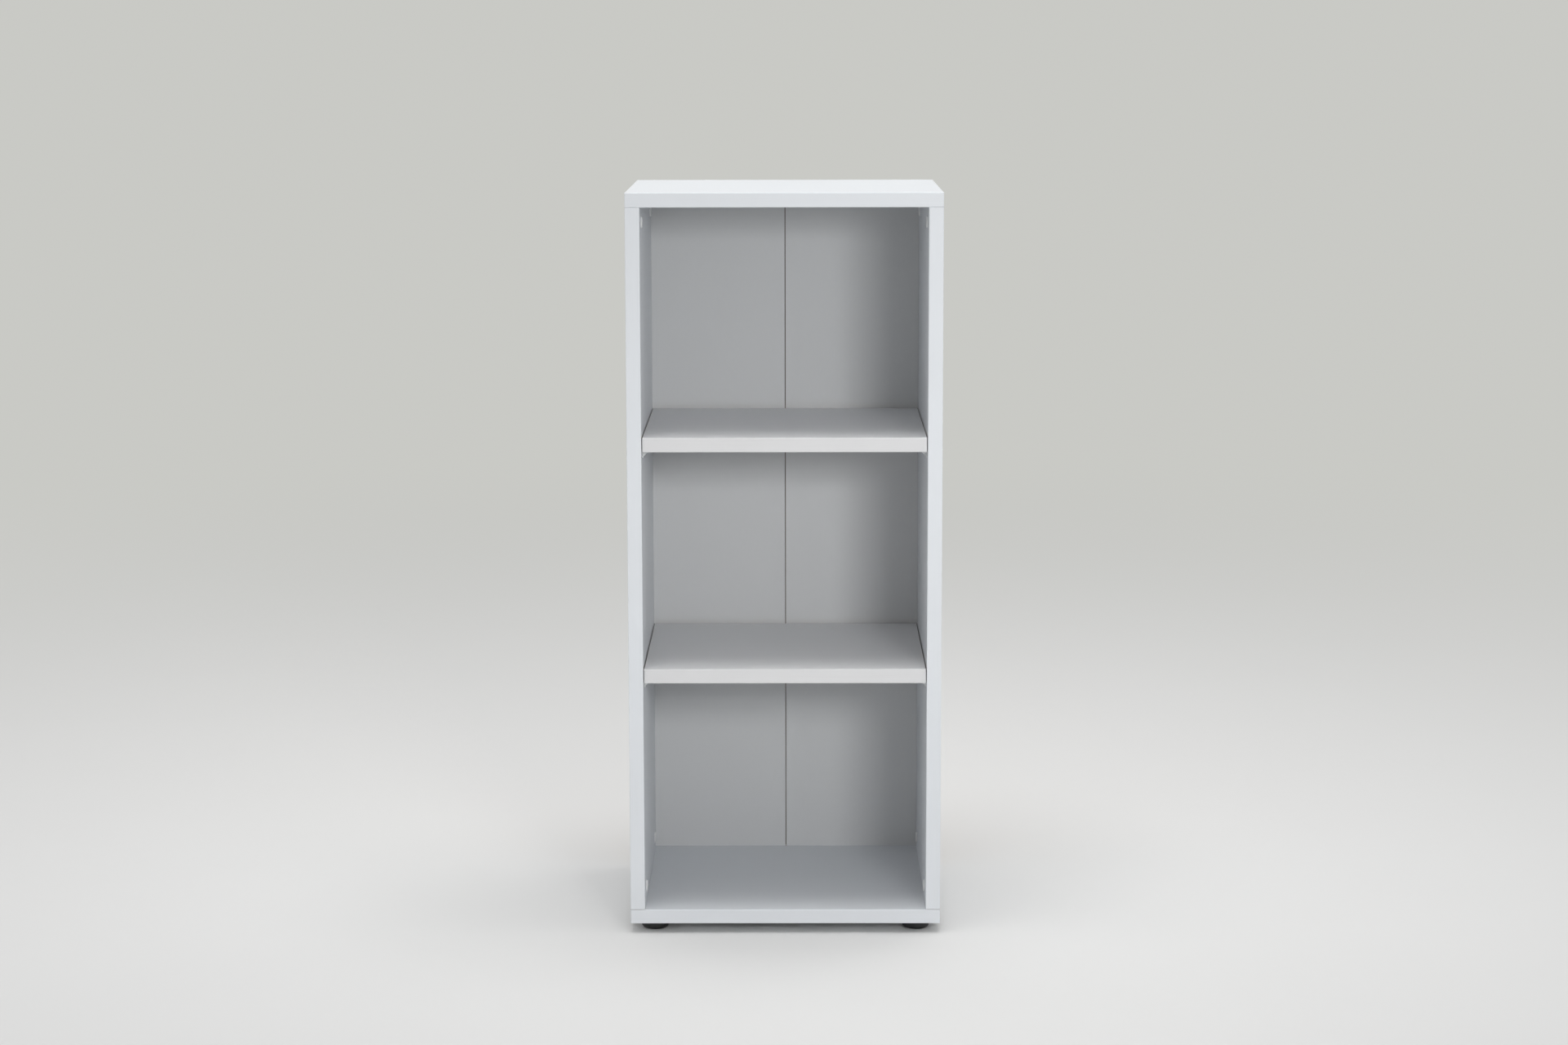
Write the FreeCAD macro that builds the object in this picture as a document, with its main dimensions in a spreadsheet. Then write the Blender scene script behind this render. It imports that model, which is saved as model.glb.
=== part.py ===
import FreeCAD, Part
import Sketcher
import os
import re

# An open bookcase of white faced board with two loose shelves, knock-down joints and screw feet.
# The origin is on the floor under the middle of the case, +Z is up and the front faces -Y.

# Driving dimensions in millimetres
SIZES = {
    # Case of boards with edge bands
    "case_width": 472,
    "case_depth": 400,
    "case_height": 1112,
    "board_thickness": 22,
    "band_thickness": 2,
    "band_rounding": 1.2,
    # Clear heights of the two lower bays, and the room round a loose shelf
    "lower_bay": 351,
    "middle_bay": 330,
    "shelf_setback": 4,
    "shelf_end_gap": 1,
    "shelf_back_gap": 8,
    # Thin back in two leaves, held in grooves
    "back_thickness": 3,
    "back_inset": 8,
    "back_seam": 1,
    "back_end_gap": 1,
    "groove_depth": 8,
    "groove_clearance": 0.1,
    "tape_width": 30,
    "tape_thickness": 0.3,
    # Joints at the four corners of the case: a bolt, a lock that drops over its head, and a cap
    "lock_setback": 50,
    "lock_distance": 24,
    "lock_diameter": 15,
    "lock_clearance": 0.05,
    "lock_below_axis": 4.5,
    "lock_bore_spare": 0.5,
    "lock_lip": 2.2,
    "lock_play": 0.2,
    "driver_width": 1.8,
    "driver_span": 7,
    "driver_depth": 3,
    "bolt_head_diameter": 7,
    "bolt_head_length": 2.6,
    "bolt_neck_diameter": 4.8,
    "bolt_neck_spare": 0.6,
    "bolt_shank_diameter": 7.6,
    "bolt_thread_diameter": 6,
    "bolt_thread_length": 11,
    "bolt_clearance": 0.05,
    "bolt_end_gap": 1,
    "cap_diameter": 18.5,
    "cap_thickness": 2.6,
    "cap_bevel": 2.2,
    # Shelf supports on pins in the sides
    "pin_diameter": 5,
    "pin_length": 8,
    "pin_bore_depth": 10,
    "pin_clearance": 0.05,
    "pin_front": 37,
    "pin_rear": 43,
    "pin_drop": 5,
    "support_width": 12,
    "flange_height": 11.5,
    "flange_thickness": 2,
    "tab_length": 12,
    "tab_thickness": 2,
    "gusset_thickness": 2.5,
    "gusset_margin": 1,
    # Screw feet
    "foot_height": 15,
    "foot_gap": 0.3,
    "foot_diameter": 42,
    "foot_bevel": 7.5,
    "foot_side_inset": 36,
    "foot_end_inset": 37,
    "stud_diameter": 8,
    "stud_foot_level": 5,
    "stud_cover": 4,
    "stud_end_gap": 1,
    "stud_clearance": 0.05,
    "sleeve_diameter": 12,
    "sleeve_spare": 3,
    "sleeve_clearance": 0.05,
}
SIZE_NAMES = re.compile(r"\b(" + "|".join(SIZES) + r")\b")

# Places in the case, as formulas of the sizes
LEFT = "(-case_width / 2)"
FRONT = "(-case_depth / 2)"
REAR = "(case_depth / 2)"
INNER_RIGHT = "(case_width / 2 - board_thickness)"
INNER_LEFT = "(board_thickness - case_width / 2)"
UNDERSIDE = "foot_height"
FLOOR = "(foot_height + board_thickness)"
CEILING = "(foot_height + case_height - board_thickness)"
LOWER_REST = f"({FLOOR} + lower_bay)"
UPPER_REST = f"({LOWER_REST} + board_thickness + middle_bay)"
BACK_FACE = f"({REAR} - back_inset - back_thickness)"
SHELF_FRONT = f"({FRONT} + shelf_setback)"
SHELF_DEPTH = f"({BACK_FACE} - shelf_back_gap - {SHELF_FRONT})"
SIDE_MIDDLE = "(case_width / 2 - board_thickness / 2)"
LOCK_ROWS = (f"{FRONT} + lock_setback", f"{REAR} - lock_setback")
LOCK_LEVELS = {"bottom": f"{FLOOR} + lock_distance", "top": f"{CEILING} - lock_distance"}
PIN_ROWS = (f"{FRONT} + pin_front", f"{REAR} - pin_rear")
FOOT_SIDES = {"left": f"{LEFT} + foot_side_inset", "right": "case_width / 2 - foot_side_inset"}
FOOT_ENDS = {"front": f"{FRONT} + foot_end_inset", "rear": f"{REAR} - foot_end_inset"}
STUD_BORE_DEPTH = "(board_thickness - stud_cover)"

X_AXIS = FreeCAD.Vector(1, 0, 0)
Y_AXIS = FreeCAD.Vector(0, 1, 0)
Z_AXIS = FreeCAD.Vector(0, 0, 1)

# How many sides stand for a circle, where a small round form is repeated
BOLT_SIDES = 8
PIN_SIDES = 16
STUD_SIDES = 16
PAD_SIDES = 40

doc = FreeCAD.newDocument("Bookcase")
sheet = doc.addObject("Spreadsheet::Sheet", "Sizes")
for row, (size_name, size_value) in enumerate(SIZES.items(), 1):
    sheet.set(f"A{row}", size_name)
    sheet.set(f"B{row}", str(size_value))
    sheet.setAlias(f"B{row}", size_name)
doc.recompute()

pieces = []


def bound(formula):
    """A formula of size names, as an expression on the sheet."""
    return SIZE_NAMES.sub(r"Sizes.\g<0>", formula)


def number(formula):
    """What a formula comes to at the present sizes."""
    return float(sheet.evalExpression(bound(formula)))


def bind(thing, setting, formula):
    thing.setExpression(setting, bound(formula))


def place(thing, x, y, z, rotation=None):
    if rotation:
        thing.Placement.Rotation = rotation
    for axis, formula in zip("xyz", (x, y, z)):
        bind(thing, f"Placement.Base.{axis}", formula)


def new_body(name):
    body = doc.addObject("PartDesign::Body", name)
    body.Label = name
    return body


def new_sketch(body, plane, name, lift="0"):
    """A sketch on one of the body's origin planes, lifted along the plane's normal."""
    sketch = body.newObject("Sketcher::SketchObject", name)
    support = next(feature for feature in body.Origin.OriginFeatures if feature.Role == plane)
    sketch.AttachmentSupport = [(support, "")]
    sketch.MapMode = "FlatFace"
    bind(sketch, "AttachmentOffset.Base.z", lift)
    return sketch


def hold_point(sketch, geometry, point, x, y):
    """Ties a point of the sketch to formulas measured from the sketch's origin."""
    for kind, formula in (("DistanceX", x), ("DistanceY", y)):
        constraint = Sketcher.Constraint(kind, -1, 1, geometry, point, number(formula))
        bind(sketch, f"Constraints[{sketch.addConstraint(constraint)}]", formula)


def draw_outline(sketch, corners):
    """A closed outline of straight lines through corners given as pairs of formulas."""
    points = [FreeCAD.Vector(number(x), number(y), 0) for x, y in corners]
    for start, end in zip(points, points[1:] + points[:1]):
        sketch.addGeometry(Part.LineSegment(start, end))
    last = len(corners) - 1
    for line, (x, y) in enumerate(corners):
        before = line - 1 if line else last
        sketch.addConstraint(Sketcher.Constraint("Coincident", before, 2, line, 1))
        hold_point(sketch, line, 1, x, y)


def draw_rectangle(sketch, left, bottom, width, height):
    right = f"{left} + {width}"
    top = f"{bottom} + {height}"
    draw_outline(sketch, ((left, bottom), (right, bottom), (right, top), (left, top)))


def draw_circles(sketch, radius, centres):
    for x, y in centres:
        middle = FreeCAD.Vector(number(x), number(y), 0)
        circle = sketch.addGeometry(Part.Circle(middle, Z_AXIS, number(radius)))
        hold_point(sketch, circle, 3, x, y)
        constraint = Sketcher.Constraint("Radius", circle, number(radius))
        bind(sketch, f"Constraints[{sketch.addConstraint(constraint)}]", radius)


def add_pad(body, sketch, length, backwards=False, both_ways=False):
    feature = body.newObject("PartDesign::Pad", f"{sketch.Name}_pad")
    feature.Profile = sketch
    feature.Reversed = backwards
    feature.Midplane = both_ways
    bind(feature, "Length", length)
    doc.recompute()


def add_pocket(body, sketch, depth, backwards=False):
    """A pocket, which must take something away."""
    before = body.Shape.Volume
    feature = body.newObject("PartDesign::Pocket", f"{sketch.Name}_pocket")
    feature.Profile = sketch
    feature.Reversed = backwards
    bind(feature, "Length", depth)
    doc.recompute()
    if body.Shape.Volume >= before:
        raise RuntimeError(f"{feature.Label} cuts nothing")


def revolve(name, corners):
    """A round body turned about its own Z axis, from corners given as radius and height."""
    body = new_body(name)
    sketch = new_sketch(body, "XZ_Plane", f"{name}_profile")
    draw_outline(sketch, corners)
    feature = body.newObject("PartDesign::Revolution", f"{name}_turn")
    feature.Profile = sketch
    feature.ReferenceAxis = (sketch, ["V_Axis"])
    doc.recompute()
    return body


def add_prism(body, kind, name, sides, radius, low, height, rotation=None):
    """A many-sided length of a body, added or taken away: a round one with fewer faces."""
    prism = body.newObject(f"PartDesign::{kind}Prism", name)
    prism.Polygon = sides
    bind(prism, "Circumradius", radius)
    bind(prism, "Height", height)
    place(prism, "0", "0", low, rotation)
    doc.recompute()


def dress_edges(body, kind, setting, formula, chosen):
    """A fillet or chamfer on the edges that the chosen function accepts."""
    base = body.Tip
    names = [f"Edge{n}" for n, edge in enumerate(base.Shape.Edges, 1) if chosen(edge)]
    feature = body.newObject(f"PartDesign::{kind}", f"{body.Name}_{kind.lower()}")
    feature.Base = (base, names)
    bind(feature, setting, formula)
    doc.recompute()


def near(a, b):
    return abs(a - b) < 1e-6


def group(name, master, spots):
    """Copies of a master body as separate solids of one node: each spot is x, y, z and a rotation."""
    links = []
    for count, (x, y, z, rotation) in enumerate(spots, 1):
        link = doc.addObject("App::Link", f"{name}_{count}")
        link.LinkedObject = master
        place(link, x, y, z, rotation)
        links.append(link)
    node = doc.addObject("Part::Compound", name)
    node.Label = name
    node.Links = links
    pieces.append(node)


class Board:
    """A flat board with its lowest corner at its own origin, machined in the case's coordinates."""

    def __init__(self, name, corner, size):
        self.corner = corner
        self.body = new_body(name)
        sketch = new_sketch(self.body, "XY_Plane", f"{name}_outline")
        draw_rectangle(sketch, "0", "0", size[0], size[1])
        add_pad(self.body, sketch, size[2])
        place(self.body, *corner)
        # Each face: its plane, its height along the plane's normal, and whether a cut runs along it
        self.faces = {
            "under": ("XY_Plane", "0", True),
            "over": ("XY_Plane", size[2], False),
            "left": ("YZ_Plane", "0", True),
            "right": ("YZ_Plane", size[0], False),
        }
        pieces.append(self.body)

    def start_cut(self, face, name):
        plane, lift, along = self.faces[face]
        sketch = new_sketch(self.body, plane, f"{self.body.Name}_{name}", lift)
        u, v = self.corner[:2] if plane == "XY_Plane" else self.corner[1:]
        return sketch, along, u, v

    def drill(self, face, name, diameter, depth, centres):
        sketch, along, u, v = self.start_cut(face, name)
        local = [(f"{a} - ({u})", f"{b} - ({v})") for a, b in centres]
        draw_circles(sketch, f"({diameter}) / 2", local)
        add_pocket(self.body, sketch, depth, along)

    def mill(self, face, name, low, size, depth):
        sketch, along, u, v = self.start_cut(face, name)
        draw_rectangle(sketch, f"{low[0]} - ({u})", f"{low[1]} - ({v})", *size)
        add_pocket(self.body, sketch, depth, along)


# Outer boards
GROOVE_FRONT = f"{BACK_FACE} - groove_clearance"
GROOVE_WIDTH = "(back_thickness + 2 * groove_clearance)"
JOINT_SPOTS = [(f"{sign}{SIDE_MIDDLE}", row) for sign in ("-", "") for row in LOCK_ROWS]
FOOT_SPOTS = [(x, y) for x in FOOT_SIDES.values() for y in FOOT_ENDS.values()]


def make_level_panel(name, level, inner_face):
    """The top or bottom panel, with its inner face grooved for the back and drilled for the joints."""
    corner = (f"{LEFT} + band_thickness", f"{FRONT} + band_thickness", level)
    size = ("case_width - 2 * band_thickness", "case_depth - band_thickness", "board_thickness")
    panel = Board(name, corner, size)
    groove_low = (f"{INNER_LEFT} - groove_depth", GROOVE_FRONT)
    groove_size = (f"2 * ({INNER_RIGHT} + groove_depth)", GROOVE_WIDTH)
    panel.mill(inner_face, "groove", groove_low, groove_size, "groove_depth")
    thread_bore = "bolt_thread_diameter + 2 * bolt_clearance"
    panel.drill(inner_face, "bolts", thread_bore, "bolt_thread_length + bolt_end_gap", JOINT_SPOTS)
    return panel


def make_side_panel(name, left, inner_face):
    """A side: its inner face has lock bores, support holes and a groove, its ends have bolt bores."""
    corner = (left, f"{FRONT} + band_thickness", FLOOR)
    size = ("board_thickness", "case_depth - band_thickness", f"{CEILING} - {FLOOR}")
    panel = Board(name, corner, size)
    panel.mill(inner_face, "groove", (GROOVE_FRONT, FLOOR), (GROOVE_WIDTH, size[2]), "groove_depth")
    locks = [(row, level) for row in LOCK_ROWS for level in LOCK_LEVELS.values()]
    lock_bore_depth = "board_thickness / 2 + lock_below_axis + lock_bore_spare"
    panel.drill(inner_face, "locks", "lock_diameter", lock_bore_depth, locks)
    pin_bore = "pin_diameter + 2 * pin_clearance"
    pins = [(row, f"{rest} - pin_drop") for row in PIN_ROWS for rest in (LOWER_REST, UPPER_REST)]
    panel.drill(inner_face, "pins", pin_bore, "pin_bore_depth", pins)
    middle = f"{left} + board_thickness / 2"
    shank_bore = "bolt_shank_diameter + 2 * bolt_clearance"
    for end in ("under", "over"):
        panel.drill(end, f"{end}_bolts", shank_bore, "lock_distance", [(middle, row) for row in LOCK_ROWS])


bottom_panel = make_level_panel("bottom_panel", UNDERSIDE, "over")
sleeve_bore = "sleeve_diameter + 2 * sleeve_clearance"
bottom_panel.drill("under", "sleeves", sleeve_bore, STUD_BORE_DEPTH, FOOT_SPOTS)
make_level_panel("top_panel", CEILING, "under")
make_side_panel("left_side_panel", LEFT, "right")
make_side_panel("right_side_panel", INNER_RIGHT, "left")

# Loose shelves
SHELF_WIDTH = f"(2 * ({INNER_RIGHT} - shelf_end_gap))"
SHELF_LEFT = f"({INNER_LEFT} + shelf_end_gap)"
SHELVES = {"lower_shelf": LOWER_REST, "upper_shelf": UPPER_REST}
for shelf_name, rest in SHELVES.items():
    shelf_corner = (SHELF_LEFT, f"{SHELF_FRONT} + band_thickness", rest)
    Board(shelf_name, shelf_corner, (SHELF_WIDTH, f"{SHELF_DEPTH} - band_thickness", "board_thickness"))


# Edge bands
def make_band(name, corner, size, outward, sign, every_edge=False):
    """A strip whose outer face looks along axis 0 or 1, with its long edges there, or all four, rounded."""
    body = Board(name, corner, size).body
    spans = [number(length) for length in size]
    outer = spans[outward] if sign > 0 else 0
    longest = spans.index(max(spans))

    def on_outer_face(edge):
        start, end = (vertex.Point for vertex in edge.Vertexes)
        local = [body.Placement.inverse().multVec(point) for point in (start, end)]
        on_face = all(near(point[outward], outer) for point in local)
        runs_long = not near(local[0][longest], local[1][longest])
        return on_face and (every_edge or runs_long)

    dress_edges(body, "Fillet", "Radius", "band_rounding", on_outer_face)


for level_name, level in (("bottom", UNDERSIDE), ("top", CEILING)):
    front_size = ("case_width", "band_thickness", "board_thickness")
    make_band(f"{level_name}_front_band", (LEFT, FRONT, level), front_size, 1, -1, every_edge=True)
    end_size = ("band_thickness", "case_depth - band_thickness", "board_thickness")
    for side, left, sign in (("left", LEFT, -1), ("right", "case_width / 2 - band_thickness", 1)):
        end_corner = (left, f"{FRONT} + band_thickness", level)
        make_band(f"{level_name}_{side}_band", end_corner, end_size, 0, sign)
for side, left in (("left", LEFT), ("right", INNER_RIGHT)):
    side_size = ("board_thickness", "band_thickness", f"{CEILING} - {FLOOR}")
    make_band(f"{side}_side_band", (left, FRONT, FLOOR), side_size, 1, -1)
for shelf_name, rest in SHELVES.items():
    shelf_size = (SHELF_WIDTH, "band_thickness", "board_thickness")
    make_band(f"{shelf_name}_band", (SHELF_LEFT, SHELF_FRONT, rest), shelf_size, 1, -1, every_edge=True)

# Back in two leaves that stand in the bottom groove, with a tape behind their seam
LEAF_EDGE = f"({INNER_RIGHT} + groove_depth - back_end_gap)"
LEAF_FOOT = f"{FLOOR} - groove_depth"
LEAF_SIZE = (
    f"{LEAF_EDGE} - back_seam / 2",
    "back_thickness",
    f"{CEILING} + groove_depth - back_end_gap - ({LEAF_FOOT})",
)
for side, left in (("left", f"-{LEAF_EDGE}"), ("right", "back_seam / 2")):
    Board(f"{side}_back_panel", (left, BACK_FACE, LEAF_FOOT), LEAF_SIZE)
tape_corner = ("-tape_width / 2", f"{BACK_FACE} + back_thickness", f"{FLOOR} + back_end_gap")
tape_height = f"{CEILING} - {FLOOR} - 2 * back_end_gap"
Board("back_tape", tape_corner, ("tape_width", "tape_thickness", tape_height))

# Corner joints: each lock and cap lies on its own Z axis, with the bolt coming to the lock along +Y
LOCK_UNDERSIDE = "(-board_thickness / 2 - lock_below_axis)"
HEAD_ROOM = "(bolt_head_diameter / 2 + lock_play)"
NECK_ROOM = "(bolt_neck_diameter / 2 + lock_play)"
# How far from the lock's middle its lip holds the bolt's head
LIP = "(lock_diameter / 2 - lock_clearance - lock_lip)"


def draw_bar(body, name, width, span):
    sketch = new_sketch(body, "XY_Plane", name)
    draw_rectangle(sketch, f"-({width}) / 2", f"-({span}) / 2", f"({width})", f"({span})")
    return sketch


def make_lock():
    """The lock: a disc open below, with a lip in front of the bolt's head and a slot for the driver."""
    body = new_body("joint_lock")
    sketch = new_sketch(body, "XY_Plane", "lock_disc")
    draw_circles(sketch, "lock_diameter / 2 - lock_clearance", [("0", "0")])
    add_pad(body, sketch, "board_thickness / 2 + lock_below_axis", backwards=True)
    pocket_length = "(bolt_head_length + lock_play)"
    rooms = (
        ("lock_head_room", HEAD_ROOM, f"{LIP} - {pocket_length}", pocket_length),
        ("lock_neck_room", NECK_ROOM, LIP, "lock_lip + lock_clearance"),
    )
    for name, room, start, length in rooms:
        slot = new_sketch(body, "XY_Plane", name, LOCK_UNDERSIDE)
        draw_rectangle(slot, f"-{room}", start, f"2 * {room}", length)
        add_pocket(body, slot, f"lock_below_axis + {room}", backwards=True)
    add_pocket(body, draw_bar(body, "lock_driver", "driver_width", "driver_span"), "driver_depth")
    return body


def make_bolt():
    """The bolt: lengths of thread above the joint, and shank, neck and head below it."""
    body = new_body("joint_bolt")
    shank_end = "lock_diameter / 2 + bolt_neck_spare - lock_distance"
    head_near = f"{LIP} - lock_distance"
    lengths = (
        ("bolt_thread", "bolt_thread_diameter", "0", "bolt_thread_length"),
        ("bolt_shank", "bolt_shank_diameter", shank_end, f"-({shank_end})"),
        ("bolt_neck", "bolt_neck_diameter", head_near, f"{shank_end} - ({head_near})"),
        ("bolt_head", "bolt_head_diameter", f"{head_near} - bolt_head_length", "bolt_head_length"),
    )
    for name, diameter, low, height in lengths:
        add_prism(body, "Additive", name, BOLT_SIDES, f"{diameter} / 2", low, height)
    return body


def make_cap():
    """The cover cap: a bevelled disc with a plug for the driver slot."""
    corners = (
        ("0", "0"),
        ("cap_diameter / 2", "0"),
        ("cap_diameter / 2 - cap_bevel", "cap_thickness"),
        ("0", "cap_thickness"),
    )
    body = revolve("joint_cap", corners)
    width, span = (f"driver_{side} - 2 * lock_clearance" for side in ("width", "span"))
    add_pad(body, draw_bar(body, "cap_plug", width, span), "driver_depth - lock_play", backwards=True)
    return body


def facing(bolt_way, face_way):
    """The rotation that turns +Y to the bolt and +Z out of the side panel's inner face."""
    up = FreeCAD.Vector(0, 0, bolt_way)
    out = FreeCAD.Vector(face_way, 0, 0)
    return FreeCAD.Rotation(up.cross(out), up, out, "ZYX")


lock_spots = [
    (inner, row, LOCK_LEVELS[level], facing(bolt_way, face_way))
    for inner, face_way in ((INNER_LEFT, 1), (INNER_RIGHT, -1))
    for level, bolt_way in (("bottom", -1), ("top", 1))
    for row in LOCK_ROWS
]
group("joint_locks", make_lock(), lock_spots)
group("joint_caps", make_cap(), lock_spots)
joint_levels = ((FLOOR, FreeCAD.Rotation(X_AXIS, 180)), (CEILING, FreeCAD.Rotation()))
bolt_spots = [(x, y, level, rotation) for level, rotation in joint_levels for x, y in JOINT_SPOTS]
group("joint_bolts", make_bolt(), bolt_spots)


# Shelf supports: the pin's axis is at the master's origin, on the side panel's face
def make_support():
    body = new_body("shelf_support")
    angle = new_sketch(body, "XZ_Plane", "support_angle")
    tab_under = "pin_drop - tab_thickness"
    flange_foot = "pin_drop - flange_height"
    corners = (
        ("0", flange_foot),
        ("flange_thickness", flange_foot),
        ("flange_thickness", tab_under),
        ("tab_length", tab_under),
        ("tab_length", "pin_drop"),
        ("0", "pin_drop"),
    )
    draw_outline(angle, corners)
    add_pad(body, angle, "support_width", both_ways=True)
    gusset = new_sketch(body, "XZ_Plane", "support_gusset")
    corners = (
        ("flange_thickness", f"{flange_foot} + gusset_margin"),
        ("tab_length - gusset_margin", tab_under),
        ("flange_thickness", tab_under),
    )
    draw_outline(gusset, corners)
    add_pad(body, gusset, "gusset_thickness", both_ways=True)
    into_side = FreeCAD.Rotation(Y_AXIS, -90)
    add_prism(body, "Additive", "support_pin", PIN_SIDES, "pin_diameter / 2", "0", "pin_length", into_side)
    return body


support = make_support()
for shelf_name, rest in SHELVES.items():
    support_spots = [
        (inner, row, f"{rest} - pin_drop", FreeCAD.Rotation(Z_AXIS, turn))
        for inner, turn in ((INNER_LEFT, 0), (INNER_RIGHT, 180))
        for row in PIN_ROWS
    ]
    group(f"{shelf_name}_supports", support, support_spots)

# Screw feet: sleeves in the bottom panel, studs in them, and pads on the studs, all as many-sided prisms
STUD_TOP = f"(foot_height + {STUD_BORE_DEPTH} - stud_end_gap)"
# A bore whose flats clear the stud's corners
STUD_ROOM = f"((stud_diameter / 2 + stud_clearance) / cos(180 deg / {STUD_SIDES}))"


def make_sleeve():
    body = new_body("foot_sleeve")
    length = f"{STUD_BORE_DEPTH} - sleeve_spare"
    add_prism(body, "Additive", "sleeve_body", STUD_SIDES, "sleeve_diameter / 2", "0", length)
    add_prism(body, "Subtractive", "sleeve_bore", STUD_SIDES, STUD_ROOM, "0", length)
    return body


def make_stud():
    body = new_body("foot_stud")
    length = f"{STUD_TOP} - stud_foot_level"
    add_prism(body, "Additive", "stud_shaft", STUD_SIDES, "stud_diameter / 2", "stud_foot_level", length)
    return body


def make_pad():
    """A pad with a bevelled lower edge and a blind bore for the stud."""
    body = new_body("foot_pad")
    pad_top = "foot_height - foot_gap"
    add_prism(body, "Additive", "pad_disc", PAD_SIDES, "foot_diameter / 2", "0", pad_top)
    dress_edges(body, "Chamfer", "Size", "foot_bevel", lambda edge: near(edge.BoundBox.ZMax, 0))
    bore_foot = "stud_foot_level - stud_clearance"
    bore_depth = f"{pad_top} - ({bore_foot})"
    add_prism(body, "Subtractive", "pad_bore", STUD_SIDES, STUD_ROOM, bore_foot, bore_depth)
    return body


group("foot_sleeves", make_sleeve(), [(x, y, UNDERSIDE, None) for x, y in FOOT_SPOTS])
foot_pad = make_pad()
foot_stud = make_stud()
for end, y in FOOT_ENDS.items():
    for side, x in FOOT_SIDES.items():
        group(f"{end}_{side}_foot_pad", foot_pad, [(x, y, "0", None)])
        group(f"{end}_{side}_foot_stud", foot_stud, [(x, y, "0", None)])

# Checks and files
doc.recompute()
for item in doc.Objects:
    if "Invalid" in item.State or "Error" in item.State:
        raise RuntimeError(f"{item.Label} failed: {item.State}")
for piece in pieces:
    if piece.Shape.isNull() or not piece.Shape.isValid() or not piece.Shape.Solids:
        raise RuntimeError(f"{piece.Label} has no valid shape")
os.makedirs("parts", exist_ok=True)
for piece in pieces:
    piece.Shape.exportStep(f"parts/{piece.Label}.step")
    print(piece.Label, len(piece.Shape.Solids), round(piece.Shape.Volume, 1))
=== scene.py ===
"""Looks of an open bookcase: faced boards, edge bands, a back in two leaves, fittings and feet."""

import math

import bmesh
import bpy
from bpy.props import FloatProperty, FloatVectorProperty, IntProperty, PointerProperty
from mathutils import Matrix, Vector


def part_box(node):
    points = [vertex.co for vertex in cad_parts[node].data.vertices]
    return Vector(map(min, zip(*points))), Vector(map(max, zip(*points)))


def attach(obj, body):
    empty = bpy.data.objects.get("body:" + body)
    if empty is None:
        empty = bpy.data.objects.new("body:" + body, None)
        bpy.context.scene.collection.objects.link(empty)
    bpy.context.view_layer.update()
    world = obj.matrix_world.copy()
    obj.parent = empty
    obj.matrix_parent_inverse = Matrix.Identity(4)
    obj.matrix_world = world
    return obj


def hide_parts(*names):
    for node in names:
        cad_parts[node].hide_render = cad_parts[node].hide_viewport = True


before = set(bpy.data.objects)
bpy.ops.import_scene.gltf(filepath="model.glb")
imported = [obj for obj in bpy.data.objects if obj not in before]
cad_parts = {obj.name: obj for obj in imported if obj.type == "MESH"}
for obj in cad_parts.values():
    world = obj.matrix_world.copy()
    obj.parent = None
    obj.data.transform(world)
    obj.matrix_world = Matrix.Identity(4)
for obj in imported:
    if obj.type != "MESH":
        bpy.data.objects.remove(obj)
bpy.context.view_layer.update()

bl_info = {
    "name": "Open bookcase",
    "version": (1, 0, 0),
    "blender": (4, 5, 0),
    "location": "View3D > Sidebar > Bookcase",
    "description": "Finishes, fittings and studio for an open bookcase with two loose shelves",
    "category": "Object",
}

MM = 0.001
X, Y, Z = range(3)

# Pieces by their names in the frame
BOARDS = (
    "bottom_panel",
    "top_panel",
    "left_side_panel",
    "right_side_panel",
    "lower_shelf",
    "upper_shelf",
)
BANDS = (
    "bottom_front_band",
    "bottom_left_band",
    "bottom_right_band",
    "top_front_band",
    "top_left_band",
    "top_right_band",
    "left_side_band",
    "right_side_band",
    "lower_shelf_band",
    "upper_shelf_band",
)
LEAVES = ("left_back_panel", "right_back_panel")
SHELVES = ("lower_shelf", "upper_shelf")
CORNERS = ("front_left", "front_right", "rear_left", "rear_right")

# How far a surface looks along an axis when it begins to count as facing that way, and fully does
FACING = (0.5, 0.8)
# Depth of the relief of raw wood, as a multiple of the facing's own
WOOD_RELIEF = 12.0
# Places of the colours among the sockets of a Mix node
MIX_FACTOR, MIX_FIRST, MIX_SECOND, MIX_RESULT = 0, 6, 7, 2
# Rays that see the backdrop in its own colour, however it is lit
SEEN_BY = ("Camera", "Glossy", "Transmission")

# Lengths below this are taken as nothing
TINY = 1e-6
# Steps round a pin, round the feet's thread, and up each turn of that thread
PIN_SIDES = 32
THREAD_SIDES = 24
THREAD_STEPS = 8
# Share of the thread's flanks that is flat at the crest, and again at the root
THREAD_FLAT = 0.12
# Steps of a support's rounded corners and softened edges, and the bend that makes an edge sharp
CORNER_STEPS = 5
EDGE_STEPS = 2
SHARP_EDGE = math.radians(40)

# Lamps: where they stand, what they face, their width and height, and the beam of the key's grid
KEY = {"place": (0.96, -3.55, 1.46), "target": (0.02, 0.0, 0.62), "size": (0.80, 0.55)}
KEY_SPREAD = math.radians(40)
OVERHEAD = {"place": (0.1, -0.3, 4.4), "target": (0.0, -0.1, 0.0), "size": (2.8, 1.5)}
REAR_LEFT = {"place": (-5.0, 4.6, 0.65), "target": (0.0, 0.0, 0.6), "size": (2.6, 1.2)}
REAR_RIGHT = {**REAR_LEFT, "place": (5.0, 4.6, 0.65)}
# The round floor, and the distances between which it goes over into the backdrop
FLOOR_RADIUS = 16.0
FLOOR_SIDES = 96
FLOOR_FADE = (0.9, 5.5)
# Width in millimetres of the sensor that the lens is given for
SENSOR_WIDTH = 36.0


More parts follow.
